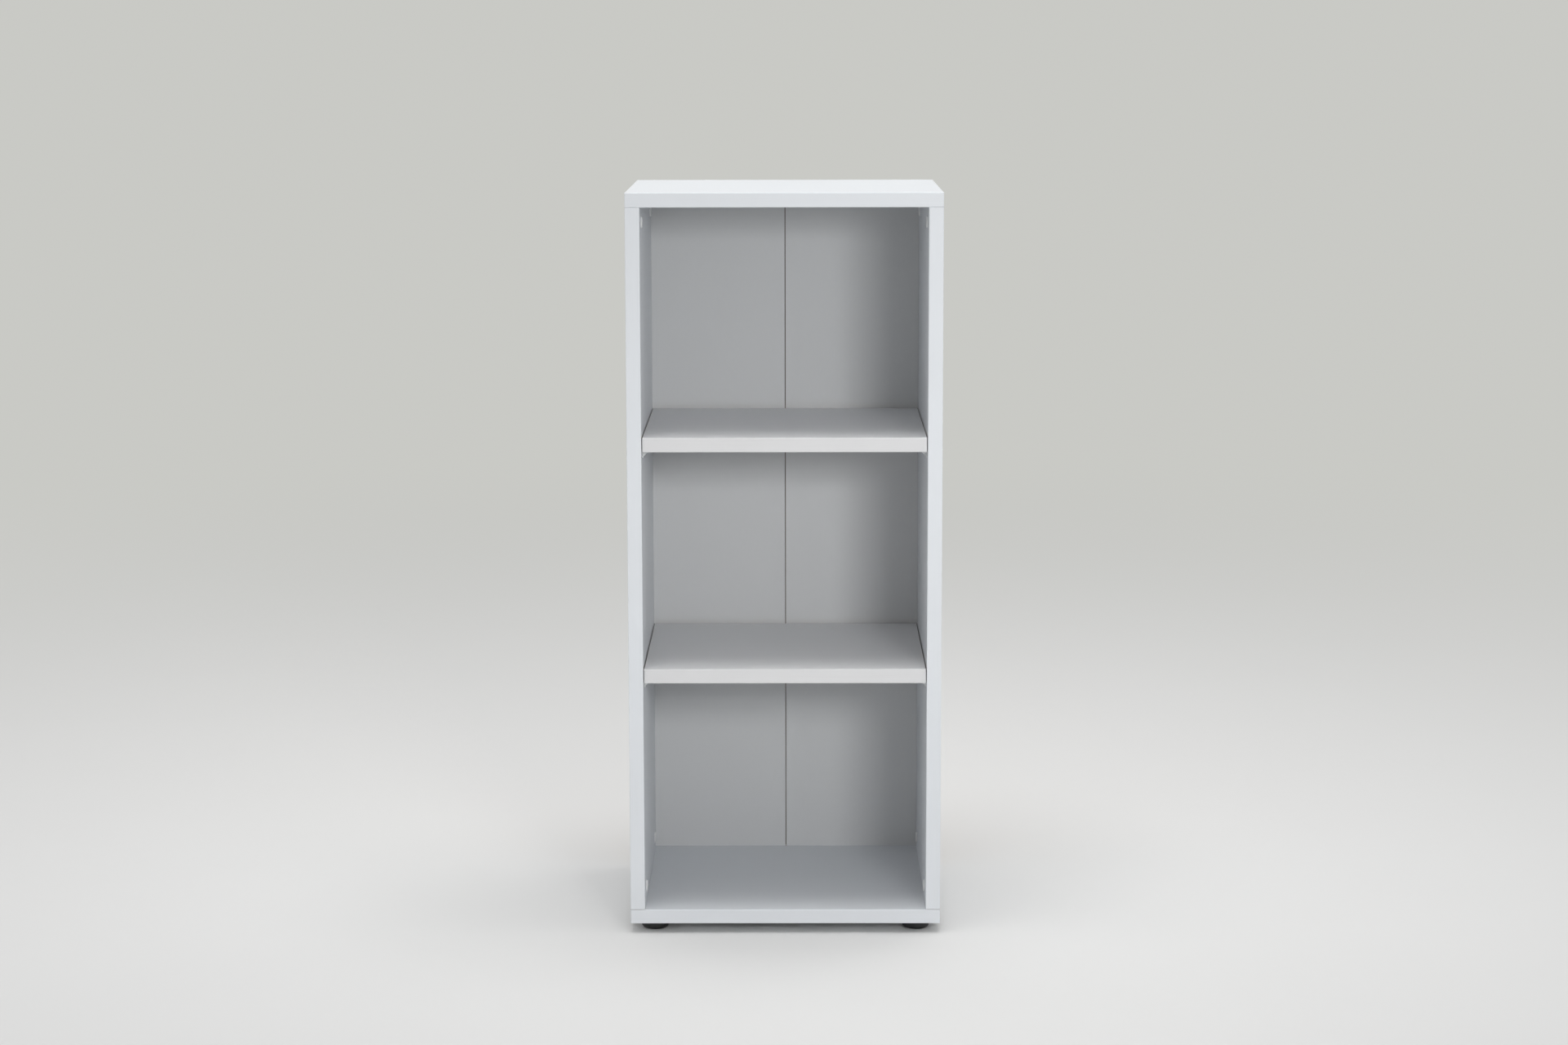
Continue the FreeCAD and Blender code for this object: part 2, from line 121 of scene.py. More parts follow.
# Properties that a user may change
def colour(name, description, default):
    """A colour property with linear values."""
    return FloatVectorProperty(
        name=name,
        description=description,
        default=default,
        subtype="COLOR",
        size=3,
        min=0.0,
        max=1.0,
    )


def length(name, description, millimetres):
    """A length property, given in millimetres and kept in metres."""
    return FloatProperty(
        name=name,
        description=description,
        default=millimetres * MM,
        min=0.0,
        precision=5,
        unit="LENGTH",
    )


def power(name, description, watts):
    """A lamp's power."""
    return FloatProperty(
        name=name, description=description, default=watts, min=0.0, unit="POWER"
    )


class BoardLooks(bpy.types.PropertyGroup):
    """Colours and textures of the boards, bands and back."""

    face: colour("Face", "Cool white facing of the case", (0.722, 0.745, 0.774))
    face_shade: colour("Face shade", "Slightly darker clouds in the facing", (0.697, 0.720, 0.749))
    band: colour("Band", "Cool white plastic of the edge bands", (0.778, 0.805, 0.839))
    band_shade: colour("Band shade", "Darker streaks along the bands", (0.755, 0.782, 0.814))
    shelf: colour("Shelf", "Plain white of the shelves and their bands", (0.731, 0.733, 0.742))
    shelf_shade: colour("Shelf shade", "Darker clouds on the shelves", (0.706, 0.708, 0.716))
    glue: colour("Glue line", "Hairline between band and board", (0.42, 0.42, 0.40))
    flake: colour("Flake", "Wood flakes in the cut edges", (0.55, 0.40, 0.24))
    flake_pale: colour("Pale flake", "Palest wood flakes in the cut edges", (0.66, 0.51, 0.33))
    flake_dark: colour("Dark flake", "Dark wood flakes in the cut edges", (0.25, 0.15, 0.075))
    # Dark of the wood's own pores, also used as painted shadow in fine gaps: the line at the sides'
    # feet and the rim at the shelves' sawn ends
    pore_and_gap_shadow: colour("Pore", "Gaps between the flakes, and other fine gaps", (0.060, 0.036, 0.020))
    lacquer: colour("Back front", "White lacquer on the front of the back", (0.652, 0.661, 0.669))
    lacquer_shade: colour("Back shade", "Fibres under the lacquer", (0.617, 0.626, 0.634))
    fibre: colour("Back rear", "Raw fibre board behind", (0.275, 0.165, 0.090))
    fibre_pale: colour("Pale fibre", "Pale clouds in the raw fibre board", (0.36, 0.23, 0.135))
    fibre_dark: colour("Dark fibre", "Dark flecks in the raw fibre board", (0.120, 0.068, 0.036))
    tape: colour("Tape", "Cloth tape behind the seam of the back", (0.70, 0.69, 0.66))
    # Partly painted shade: the tape's glue, darkened to stand for the shade seen through the seam
    bond_and_seam_shade: colour("Tape bond", "Dusty glue on the tape, seen through the seam", (0.19, 0.17, 0.15))
    pearl_size: length("Pearl size", "Grain of the relief pressed into the facing", 0.8)
    pearl_depth: length("Pearl depth", "Depth of that relief", 0.040)
    flake_size: length("Flake size", "Thickness of the wood flakes", 1.5)
    glue_width: length("Glue width", "Width of the hairline between band and board", 0.16)
    # Painted shadow: width of a dark line at the foot of each side band, standing for the shade in
    # the joint with the bottom
    joint_shadow_line: length("Joint line", "Shadow gap where the sides stand on the bottom", 0.30)
    # Partly painted shadow: a ragged dark rim at the shelves' sawn ends, for chipped facing and for
    # the shade of the gap beside the sides
    saw_wear_and_end_shadow: length("Saw wear", "Ragged edge of the facing at the sawn ends of the shelves", 0.7)
    # Partly painted shade: bare fibre along the seam's cut edges, made wide enough to darken the
    # seam's line
    seam_wear_and_shade: length("Seam wear", "Bare fibre along the cut edges of the seam", 0.20)
    thread_spacing: length("Thread spacing", "Distance between the threads of the tape", 0.6)


class FittingLooks(bpy.types.PropertyGroup):
    """Shapes and colours of caps, supports, feet and metal fittings."""

    cap_radius: length("Cap radius", "Half the width of a cover cap", 9.25)
    cap_height: length("Cap height", "How far a cap stands off the side", 2.6)
    cap_lip: length("Cap lip", "Upright rim below a cap's crown", 0.5)
    cap: colour("Cap", "Moulded white plastic of the caps", (0.80, 0.805, 0.81))
    support_width: length("Support width", "Width of a shelf support", 12.0)
    support_reach: length("Support reach", "How far a support goes under the shelf", 12.0)
    support_wall: length("Support wall", "Thickness of its flange and tab", 2.0)
    support_corner: length("Support corner", "Rounding of its free corners", 2.2)
    support_edge: length("Support edge", "Fine rounding of all its edges", 0.3)
    rib_wall: length("Rib wall", "Thickness of the rib under the tab", 2.5)
    pin_radius: length("Pin radius", "Half the width of the pin in the side", 2.5)
    pin_drop: length("Pin drop", "Height of the tab's top above the pin", 5.0)
    clear: colour("Support", "Clear plastic of the supports", (0.90, 0.92, 0.93))
    pad_foot: length("Pad foot", "Radius of the flat ring that a pad stands on", 13.5)
    pad_bowl: length("Pad bowl", "Height of the round bowl of a pad", 6.5)
    pad_edge: length("Pad edge", "Rounding of a pad's upper rim", 0.7)
    pad_hollow: length("Pad hollow", "Depth of the hollow inside that ring", 0.6)
    pad_groove: length("Pad groove", "Depth of the groove in a pad's top", 0.5)
    pad: colour("Pad", "Black plastic of the pads", (0.012, 0.012, 0.013))
    pad_scuff: colour("Pad scuff", "Rubbed places low on the pads", (0.045, 0.044, 0.043))
    pitch: length("Thread pitch", "Rise of the feet's thread in one turn", 1.25)
    thread_depth: length("Thread depth", "Depth of that thread", 0.68)
    sides: IntProperty(
        name="Sides", description="Steps round each turned shape", default=64, min=12
    )
    steel: colour("Steel", "Plated steel", (0.60, 0.60, 0.585))
    zinc: colour("Zinc", "Die-cast zinc", (0.50, 0.51, 0.53))


class StudioLooks(bpy.types.PropertyGroup):
    """Floor, backdrop, lamps and camera."""

    floor: colour("Floor", "Floor near the bookcase", (0.785, 0.785, 0.78))
    backdrop: colour("Backdrop", "Backdrop and the floor far away", (0.585, 0.588, 0.560))
    ambient: FloatProperty(
        name="Ambient", description="Strength of the even light all round", default=0.52, min=0.0
    )
    key: power("Key", "Softbox with a grid before the case, to the right", 2.2)
    overhead: power("Overhead", "Large softbox above", 94.0)
    rear: power("Rear", "Each of two softboxes far behind, to the left and right", 75.0)
    lens: FloatProperty(
        name="Lens", description="Focal length on a 36 mm sensor, in mm", default=74.265, min=1.0
    )
    camera_place: FloatVectorProperty(
        name="Camera place",
        description="Where the camera stands",
        default=(0.0148, -4.9885, 1.3704),
        subtype="TRANSLATION",
        unit="LENGTH",
    )
    pitch: FloatProperty(
        name="Pitch",
        description="How far the camera looks down",
        default=0.15247,
        subtype="ANGLE",
    )
    yaw: FloatProperty(
        name="Yaw", description="Camera's turn to the left", default=0.00331, subtype="ANGLE"
    )
    roll: FloatProperty(
        name="Roll", description="Camera's tilt", default=-0.00166, subtype="ANGLE"
    )


# Materials
class Signal:
    """An output socket whose arithmetic adds Math nodes beside it."""

    def __init__(self, socket):
        self.socket = socket

    def math(self, operation, *values):
        """Add a Math node on signals and numbers, and return its output."""
        tree = self.socket.id_data
        node = tree.nodes.new("ShaderNodeMath")
        node.operation = operation
        for entry, value in zip(node.inputs, values):
            if isinstance(value, Signal):
                tree.links.new(value.socket, entry)
            else:
                entry.default_value = value
        return Signal(node.outputs[0])

    def __add__(self, other):
        return self.math("ADD", self, other)

    def __radd__(self, other):
        return self.math("ADD", other, self)

    def __sub__(self, other):
        return self.math("SUBTRACT", self, other)

    def __rsub__(self, other):
        return self.math("SUBTRACT", other, self)

    def __mul__(self, other):
        return self.math("MULTIPLY", self, other)

    def __rmul__(self, other):
        return self.math("MULTIPLY", other, self)

    def __truediv__(self, other):
        return self.math("DIVIDE", self, other)

    def __rtruediv__(self, other):
        return self.math("DIVIDE", other, self)

    def __neg__(self):
        return self.math("MULTIPLY", self, -1.0)

    def __abs__(self):
        return self.math("ABSOLUTE", self)

    def sine(self):
        return self.math("SINE", self)

    def larger(self, other):
        return self.math("MAXIMUM", self, other)


class Tree:
    """A node tree with one method for every kind of node and short names for the common ones."""

    def __init__(self, tree):
        self.tree = tree

    def node(self, kind, settings=None, sockets=None, output=0):
        """Add a node, set its settings, then its sockets, and return one of its outputs."""
        made = self.tree.nodes.new(kind)
        for name, value in (settings or {}).items():
            if name == "stops":
                self.set_stops(made.color_ramp, value)
            else:
                setattr(made, name, value)
        for name, value in (sockets or {}).items():
            self.feed(made.inputs[name], value)
        return Signal(made.outputs[output])

    def feed(self, entry, value):
        """Link a signal to a socket, or set the socket's own value."""
        if isinstance(value, Signal):
            self.tree.links.new(value.socket, entry)
        elif entry.type == "RGBA":
            entry.default_value = (*value, 1.0)
        else:
            entry.default_value = value

    def set_stops(self, ramp, stops):
        """Give a ramp its stops, each a position and a colour."""
        while len(ramp.elements) < len(stops):
            ramp.elements.new(0.5)
        for element, (position, value) in zip(ramp.elements, stops):
            element.position = position
            element.color = (*value, 1.0)

    def place(self, stretch=None):
        """Place in the row frame at rest, stretched by a factor along each axis."""
        spot = self.node("ShaderNodeTexCoord", output="Object")
        if stretch is None:
            return spot
        return self.node("ShaderNodeVectorMath", {"operation": "MULTIPLY"}, {0: spot, 1: stretch})

    def normal(self):
        """Direction that the surface looks in, at rest."""
        return self.node("ShaderNodeTexCoord", output="Normal")

    def part(self, vector, axis):
        """One of a vector's three parts."""
        return self.node("ShaderNodeSeparateXYZ", sockets={0: vector}, output=axis)

    def noise(self, place, scale, detail=2.0, rough=0.5):
        """Soft random patches, so many to the metre."""
        sockets = {"Vector": place, "Scale": scale, "Detail": detail, "Roughness": rough}
        return self.node("ShaderNodeTexNoise", sockets=sockets)

    def cells(self, place, scale, output):
        """Random cells, so many to the metre, by their colour or the distance from their middle."""
        sockets = {"Vector": place, "Scale": scale}
        return self.node("ShaderNodeTexVoronoi", sockets=sockets, output=output)

    def fade(self, value, low, high):
        """A soft step from 0 at low to 1 at high."""
        sockets = {"Value": value, "From Min": low, "From Max": high}
        return self.node("ShaderNodeMapRange", {"interpolation_type": "SMOOTHSTEP"}, sockets)

    def tint(self, factor, first, second):
        """A colour that goes from first to second as the factor goes from 0 to 1."""
        sockets = {MIX_FACTOR: factor, MIX_FIRST: first, MIX_SECOND: second}
        return self.node("ShaderNodeMix", {"data_type": "RGBA"}, sockets, MIX_RESULT)

    def ramp(self, value, stops):
        """A colour read from stops between 0 and 1."""
        return self.node("ShaderNodeValToRGB", {"stops": stops}, {0: value})

    def shown(self):
        """1 for what is seen, also in gloss and through clear plastic, 0 for what only lights."""
        rays = [self.node("ShaderNodeLightPath", output=f"Is {kind} Ray") for kind in SEEN_BY]
        return rays[0].larger(rays[1]).larger(rays[2])


class Finish(Tree):
    """A material round one shader, whose even values are set here and whose patterns are fed in."""

    def __init__(self, name, **even):
        self.material = bpy.data.materials.new(name)
        self.material.use_nodes = True
        super().__init__(self.material.node_tree)
        self.shader = self.tree.nodes["Principled BSDF"]
        for socket, value in even.items():
            self.feed(self.shader.inputs[socket.replace("_", " ")], value)

    def surface(self, base, rough, height, depth):
        """Feed the colour, the roughness and a relief of that depth."""
        self.feed(self.shader.inputs["Base Color"], base)
        self.feed(self.shader.inputs["Roughness"], rough)
        bump = self.node("ShaderNodeBump", sockets={"Height": height, "Distance": depth})
        self.feed(self.shader.inputs["Normal"], bump)
        return self.material


def axes_by_size(low, high):
    """The axes of a box, from the thinnest to the longest."""
    return sorted(range(3), key=lambda axis: high[axis] - low[axis])


def by_axis(chosen, there, elsewhere):
    """A factor for each axis: one along the chosen axis, another along the other two."""
    return [there if axis == chosen else elsewhere for axis in range(3)]


def dimmed(paint, share):
    """A colour at a share of its brightness."""
    return [part * share for part in paint]


def chipboard(finish, place, looks, low, high):
    """Raw chipboard in a cut edge: coarse flakes in the core, fine ones under both faces."""
    through = axes_by_size(low, high)[0]
    middle = (low[through] + high[through]) / 2
    half = (high[through] - low[through]) / 2
    flow = finish.place(by_axis(through, 1.0, 0.32))
    random = finish.node(
        "ShaderNodeSeparateColor", sockets={0: finish.cells(flow, 1 / looks.flake_size, "Color")}
    )
    gap = finish.fade(finish.cells(flow, 1 / looks.flake_size, "Distance"), 0.30, 0.75)
    coarse = finish.ramp(
        random, [(0.0, looks.flake_dark), (0.45, looks.flake), (1.0, looks.flake_pale)]
    )
    flour = finish.noise(flow, 3200.0, detail=3.0, rough=0.7)
    fine = finish.tint(finish.fade(flour, 0.35, 0.68), looks.flake_dark, looks.flake)
    depth = abs(finish.part(place, through) - middle) / half
    skin = finish.fade(depth, 0.55, 0.80)
    wood = finish.tint(skin, coarse, fine)
    pores = finish.fade(finish.noise(flow, 900.0, detail=3.0, rough=0.6), 0.58, 0.70) * (1 - skin)
    wood = finish.tint(pores.larger(gap * (1 - skin) * 0.55), wood, looks.pore_and_gap_shadow)
    height = (1 - pores) * 0.6 + random * 0.25 + flour * 0.15
    return wood, height


def whites(node, pale, shade, looks):
    """The two whites of a piece: the shelves have plainer ones than the case."""
    if node.endswith(("shelf", "shelf_band")):
        return looks.shelf, looks.shelf_shade
    return pale, shade


def faced_board(node, looks):
    """White facing with a fine pearl relief on both faces, and raw chipboard in the cut edges; the
    shelves get a ragged dark rim at their sawn ends, partly painted shadow of the gap beside the
    sides.
    """
    low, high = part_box(node)
    through = axes_by_size(low, high)[0]
    finish = Finish(f"faced_board_{node}")
    place = finish.place()
    normal = finish.normal()
    face = finish.fade(abs(finish.part(normal, through)), *FACING)
    # The ends of the two sides lie against the top and the bottom, and no raw wood shows there
    if through == X:
        face = face.larger(finish.fade(abs(finish.part(normal, Z)), *FACING))
    pearl = finish.noise(place, 1 / looks.pearl_size, rough=0.45)
    clouds = finish.noise(place, 9.0, detail=4.0, rough=0.55)
    specks = finish.fade(finish.noise(place, 1500.0, detail=1.0), 0.68, 0.80)
    pale, shade = whites(node, looks.face, looks.face_shade, looks)
    paper = finish.tint(clouds, shade, pale)
    paper = finish.tint(specks * 0.5, paper, shade)
    wood, grain = chipboard(finish, place, looks, low, high)
    # Painted shadow, partly chipped facing: a ragged near-black rim at the shelves' ends stands for
    # the shade of the gap beside the sides
    if node in SHELVES:
        ragged = looks.saw_wear_and_end_shadow * (0.5 + finish.noise(place, 700.0, detail=3.0, rough=0.7))
        from_end = (high.x - abs(finish.part(place, X))) / ragged
        paper = finish.tint(1 - finish.fade(from_end, 0.7, 1.0), paper, looks.pore_and_gap_shadow)
    base = finish.tint(face, wood, paper)
    rough = face * (0.36 + clouds * 0.10 + pearl * 0.06) + (1 - face) * 0.90
    height = face * pearl + (1 - face) * grain * WOOD_RELIEF
    return finish.surface(base, rough, height, looks.pearl_depth)


def edge_band(node, looks):
    """Extruded plastic with faint streaks along it and a hairline of glue next to the board, and on
    the side bands a painted shadow line at their joint with the bottom.
    """
    low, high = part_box(node)
    thin, _, along = axes_by_size(low, high)
    inner = high[thin] if low[thin] + high[thin] < 0 else low[thin]
    finish = Finish(f"edge_band_{node}")
    place = finish.place()
    streaks = finish.noise(finish.place(by_axis(along, 0.012, 1.0)), 900.0, detail=3.0, rough=0.6)
    pearl = finish.noise(place, 1.3 / looks.pearl_size, rough=0.45)
    clouds = finish.noise(place, 11.0, detail=3.0)
    pale, shade = whites(node, looks.band, looks.band_shade, looks)
    plastic = finish.tint(finish.fade(streaks * 0.5 + clouds * 0.5, 0.25, 0.75), shade, pale)
    from_board = abs(finish.part(place, thin) - inner)
    glue = 1 - finish.fade(from_board, looks.glue_width * 0.5, looks.glue_width)
    base = finish.tint(glue, plastic, looks.glue)
    # The upright bands are those of the two sides; a painted shadow darkens their lower ends, where
    # they meet the bottom
    if along == Z:
        from_bottom = finish.part(place, Z) - low.z
        gap = 1 - finish.fade(from_bottom, looks.joint_shadow_line * 0.8, looks.joint_shadow_line)
        base = finish.tint(gap, base, looks.pore_and_gap_shadow)
    rough = 0.30 + streaks * 0.10 + glue * 0.35
    height = streaks * 0.2 + pearl * 0.5 - glue * 0.8
    return finish.surface(base, rough, height, looks.pearl_depth * 0.7)


def back_leaf(node, looks):
    """Thin fibre board, lacquered white in front up to a strip of bare fibre by the seam that also
    paints the seam's shade, and raw elsewhere.
    """
    low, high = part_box(node)
    seam = min(abs(low.x), abs(high.x))
    finish = Finish(f"back_leaf_{node}")
    place = finish.place()
    from_seam = abs(finish.part(place, X)) - seam
    # Painted shade, partly real cut edge: a strip of bare fibre on the front along the seam widens
    # its dark line
    lacquered = finish.fade(from_seam, looks.seam_wear_and_shade * 0.6, looks.seam_wear_and_shade)
    front = finish.fade(-finish.part(finish.normal(), Y), *FACING) * lacquered
    threads = finish.noise(finish.place((1.0, 1.0, 0.25)), 420.0, detail=4.0, rough=0.65)
    clouds = finish.noise(place, 8.0, detail=4.0, rough=0.55)
    lacquer = finish.tint(threads * 0.45 + clouds * 0.55, looks.lacquer_shade, looks.lacquer)
    pulp = finish.noise(finish.place((0.45, 1.0, 1.0)), 650.0, detail=5.0, rough=0.7)
    patches = finish.noise(finish.place((0.3, 1.0, 1.0)), 330.0, rough=0.6)
    flecks = finish.fade(patches, 0.60, 0.72)
    raw = finish.tint(finish.fade(pulp, 0.35, 0.65), looks.fibre_dark, looks.fibre)
    raw = finish.tint(flecks * 0.7, raw, looks.fibre_dark)
    raw = finish.tint(finish.fade(clouds, 0.3, 0.8) * 0.35, raw, looks.fibre_pale)
    base = finish.tint(front, raw, lacquer)
    rough = front * (0.44 + threads * 0.10) + (1 - front) * (0.70 + pulp * 0.15)
    height = front * threads + (1 - front) * (pulp * 2.5 + flecks)
    return finish.surface(base, rough, height, 0.018 * MM)


def cloth_tape(looks):
    """White cloth tape of two crossing sets of threads, with its glue on the front painted dark as
    the shade seen through the seam.
    """
    finish = Finish("cloth_tape")
    place = finish.place()
    turn = 2 * math.pi / looks.thread_spacing
    warp = (finish.part(place, X) * turn).sine()
    weft = (finish.part(place, Z) * turn).sine()
    weave = (warp * weft) * 0.5 + 0.5
    uneven = finish.noise(place, 60.0, detail=4.0, rough=0.6)
    lint = finish.noise(finish.place((1.0, 1.0, 0.2)), 1100.0, detail=3.0, rough=0.7)
    shade = finish.tint(finish.fade(lint, 0.3, 0.7), dimmed(looks.tape, 0.86), looks.tape)
    cloth = finish.tint(weave * 0.25 * uneven, shade, dimmed(looks.tape, 0.70))
    front = finish.fade(-finish.part(finish.normal(), Y), *FACING)
    # Painted shade: the front, seen through the seam, takes a dark glue colour that stands for the
    # seam's shade
    base = finish.tint(front, cloth, looks.bond_and_seam_shade)
    return finish.surface(base, 0.62 + uneven * 0.2, weave + uneven * 1.5, 0.06 * MM)


def plated_steel(looks):
    """Turned steel with a thin plating: fine rings, cloudy sheen and small dark spots."""
    finish = Finish("plated_steel", Metallic=1.0)
    place = finish.place()
    rings = finish.noise(finish.place((0.05, 0.05, 1.0)), 5000.0)
    clouds = finish.noise(place, 240.0, detail=4.0, rough=0.6)
    spots = finish.fade(finish.noise(place, 1200.0), 0.68, 0.76)
    base = finish.tint(clouds, dimmed(looks.steel, 0.82), looks.steel)
    base = finish.tint(spots * 0.6, base, dimmed(looks.steel, 0.45))
    return finish.surface(base, 0.22 + clouds * 0.18 + spots * 0.2, rings + clouds, 0.01 * MM)


def cast_zinc(looks):
    """Die-cast zinc: a grey sandy skin with flow marks."""
    finish = Finish("cast_zinc", Metallic=1.0)
    place = finish.place()
    sand = finish.noise(place, 2600.0, detail=3.0, rough=0.6)
    flow = finish.noise(finish.place((1.0, 0.3, 1.0)), 420.0, detail=4.0, rough=0.6)
    base = finish.tint(flow, dimmed(looks.zinc, 0.78), looks.zinc)
    return finish.surface(base, 0.34 + flow * 0.22, sand + flow, 0.02 * MM)


def moulded_white(looks):
    """Soft white plastic of the cover caps, a little cloudy, with a fine spark-eroded grain."""
    finish = Finish("moulded_white")
    place = finish.place()
    grain = finish.noise(place, 4200.0)
    clouds = finish.noise(place, 160.0, detail=3.0, rough=0.6)
    base = finish.tint(clouds, dimmed(looks.cap, 0.955), looks.cap)
    return finish.surface(base, 0.27 + clouds * 0.10 + grain * 0.05, grain, 0.008 * MM)


def clear_plastic(looks):
    """Clear, slightly milky plastic with flow lines from the mould."""
    finish = Finish("clear_plastic", Transmission_Weight=0.18, IOR=1.49)
    place = finish.place()
    flow = finish.noise(finish.place((1.0, 0.4, 1.0)), 520.0, detail=3.0, rough=0.6)
    grain = finish.noise(place, 3600.0)
    base = finish.tint(flow, dimmed(looks.clear, 0.93), looks.clear)
    return finish.surface(base, 0.12 + flow * 0.14, flow + grain * 0.3, 0.02 * MM)


def black_plastic(looks, low, high):
    """Black moulded plastic with a leathery grain, rubbed paler where a pad slides on the floor."""
    finish = Finish("black_plastic", Specular_IOR_Level=0.45)
    place = finish.place()
    grain = finish.cells(place, 1500.0, "Distance")
    smear = finish.noise(finish.place((1.0, 1.0, 3.0)), 130.0, detail=5.0, rough=0.65)
    level = (finish.part(place, Z) - low[Z]) / (high[Z] - low[Z])
    rubbed = finish.fade(smear, 0.48, 0.72) * (1 - finish.fade(level, 0.05, 0.65))
    base = finish.tint(rubbed, looks.pad, looks.pad_scuff)
    rough = 0.36 + smear * 0.12 + rubbed * 0.15
    return finish.surface(base, rough, grain + smear * 0.5, 0.04 * MM)


def wear(material, *nodes):
    """Give a material to CAD nodes."""
    for name in nodes:
        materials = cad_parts[name].data.materials
        materials.clear()
        materials.append(material)


# Shapes
def arc(centre, radii, start, end, steps):
    """Points of a profile on an ellipse, with the angles in degrees."""
    angles = [math.radians(start + (end - start) * step / steps) for step in range(steps + 1)]
    return [
        (centre[0] + radii[0] * math.cos(angle), centre[1] + radii[1] * math.sin(angle))
        for angle in angles
    ]


def turned(shape, profile, sides, place):
    """Turn a profile of radius and height about the local Z axis."""
    rings = []
    for radius, height in profile:
        count = sides if radius > TINY else 1
        ring = []
        for step in range(count):
            turn = 2 * math.pi * step / count
            spot = Vector((radius * math.cos(turn), radius * math.sin(turn), height))
            ring.append(shape.verts.new(place @ spot))
        rings.append(ring)
    for lower, upper in zip(rings, rings[1:]):
        for step in range(sides):
            ring = [lower[step % len(lower)], lower[(step + 1) % len(lower)]]
            ring += [upper[(step + 1) % len(upper)], upper[step % len(upper)]]
            corners = list(dict.fromkeys(ring))
            if len(corners) > 2:
                shape.faces.new(corners)


def smooth_mesh(name, shape, crease=35.0):
    """A mesh with outward normals, smooth except at creases sharper than that many degrees."""
    bmesh.ops.recalc_face_normals(shape, faces=shape.faces)
    mesh = bpy.data.meshes.new(name)
    shape.to_mesh(mesh)
    shape.free()
    mesh.polygons.foreach_set("use_smooth", [True] * len(mesh.polygons))
    mesh.set_sharp_from_angle(angle=math.radians(crease))
    return mesh


def add_piece(name, mesh, material, body, node):
    """Put a mesh in the scene in the place of a CAD node."""
    mesh.materials.append(material)
    piece = bpy.data.objects.new(name, mesh)
    bpy.context.scene.collection.objects.link(piece)
    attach(piece, body)
    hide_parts(node)


def inner_faces():
    """Each side's inner face and the direction from it into the bays."""
    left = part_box("left_side_panel")[1].x
    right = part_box("right_side_panel")[0].x
    return ((left, 1), (right, -1))


def cap_profile(looks):
    """A crowned disc with an upright lip and a small gate mark in the middle."""
    radius, height, lip = looks.cap_radius, looks.cap_height, looks.cap_lip
    crown = height * 0.93
    shoulder = radius * 0.30
    profile = [(0.0, 0.0), (radius, 0.0), (radius, lip)]
    profile += arc((radius - shoulder, lip), (shoulder, crown - lip), 9, 90, 9)
    profile += [(radius * 0.45, height * 0.985), (radius * 0.17, height), (radius * 0.14, height)]
    profile += [(radius * 0.12, height * 0.95), (0.0, height * 0.94)]
    return profile


def rounded_solid(outline, width, corners, corner_radius, edge_radius):
    """An outline in X and Z drawn out along Y, with round free corners and softened edges."""
    shape = bmesh.new()
    near = [shape.verts.new((x, -width / 2, z)) for x, z in outline]
    drawn = bmesh.ops.extrude_face_region(shape, geom=[shape.faces.new(near)])["geom"]
    moved = [item for item in drawn if isinstance(item, bmesh.types.BMVert)]
    bmesh.ops.translate(shape, verts=moved, vec=(0.0, width, 0.0))
    bmesh.ops.recalc_face_normals(shape, faces=shape.faces)
    bevel = {"affect": "EDGES", "profile": 0.5, "clamp_overlap": True}
    free = [edge for edge in shape.edges if corners(edge)]
    if free:
        bmesh.ops.bevel(shape, geom=free, offset=corner_radius, segments=CORNER_STEPS, **bevel)
    sharp = [edge for edge in shape.edges if edge.calc_face_angle(0.0) > SHARP_EDGE]
    bmesh.ops.bevel(shape, geom=sharp, offset=edge_radius, segments=EDGE_STEPS, **bevel)
    return shape


def joined(meshes):
    """One closed mesh out of overlapping ones."""
    scene = bpy.context.scene
    pieces = [bpy.data.objects.new(mesh.name, mesh) for mesh in meshes]
    for piece in pieces:
        scene.collection.objects.link(piece)
    for tool in pieces[1:]:
        union = pieces[0].modifiers.new(tool.name, "BOOLEAN")
        union.operation = "UNION"
        union.solver = "EXACT"
        union.object = tool
    evaluated = pieces[0].evaluated_get(bpy.context.evaluated_depsgraph_get())
    result = bpy.data.meshes.new_from_object(evaluated)
    for piece in pieces:
        bpy.data.objects.remove(piece)
    return result


def support_mesh(looks, height):
    """A shelf support: flange, tab, rib and pin, with the pin's axis at the origin."""
    top = looks.pin_drop
    foot = top - height
    wall, reach, width = looks.support_wall, looks.support_reach, looks.support_width
    under = top - wall
    angle = [(0, foot), (wall, foot), (wall, under), (reach, under), (reach, top), (0, top)]

    def free_corner(edge):
        middle = sum((vert.co for vert in edge.verts), Vector()) / 2
        span = edge.verts[0].co - edge.verts[1].co
        low_end = abs(middle.z - foot) < TINY and abs(span.x) > TINY
        far_end = abs(middle.x - reach) < TINY and abs(span.z) > TINY
        return low_end or far_end

    edge_radius = looks.support_edge
    bracket = rounded_solid(angle, width, free_corner, looks.support_corner, edge_radius)
    inside = wall / 2
    rib = [
        (inside, foot + wall),
        (wall, foot + wall),
        (reach - wall, under),
        (reach - wall, under + inside),
        (inside, under + inside),
    ]
    rib = rounded_solid(rib, looks.rib_wall, lambda edge: False, 0.0, edge_radius / 2)
    pin = bmesh.new()
    radius = looks.pin_radius
    tip = radius * 0.28
    pin_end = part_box("upper_shelf_supports")[1].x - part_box("right_side_panel")[0].x
    profile = [(0.0, -inside), (radius, -inside), (radius, pin_end - tip)]
    profile += arc((radius - tip, pin_end - tip), (tip, tip), 15, 90, 5) + [(0.0, pin_end)]
    turned(pin, profile, PIN_SIDES, Matrix.Rotation(-math.pi / 2, 4, "Y"))
    parts = zip(("bracket", "rib", "pin"), (bracket, rib, pin))
    return joined([smooth_mesh(f"support_{name}", shape) for name, shape in parts])


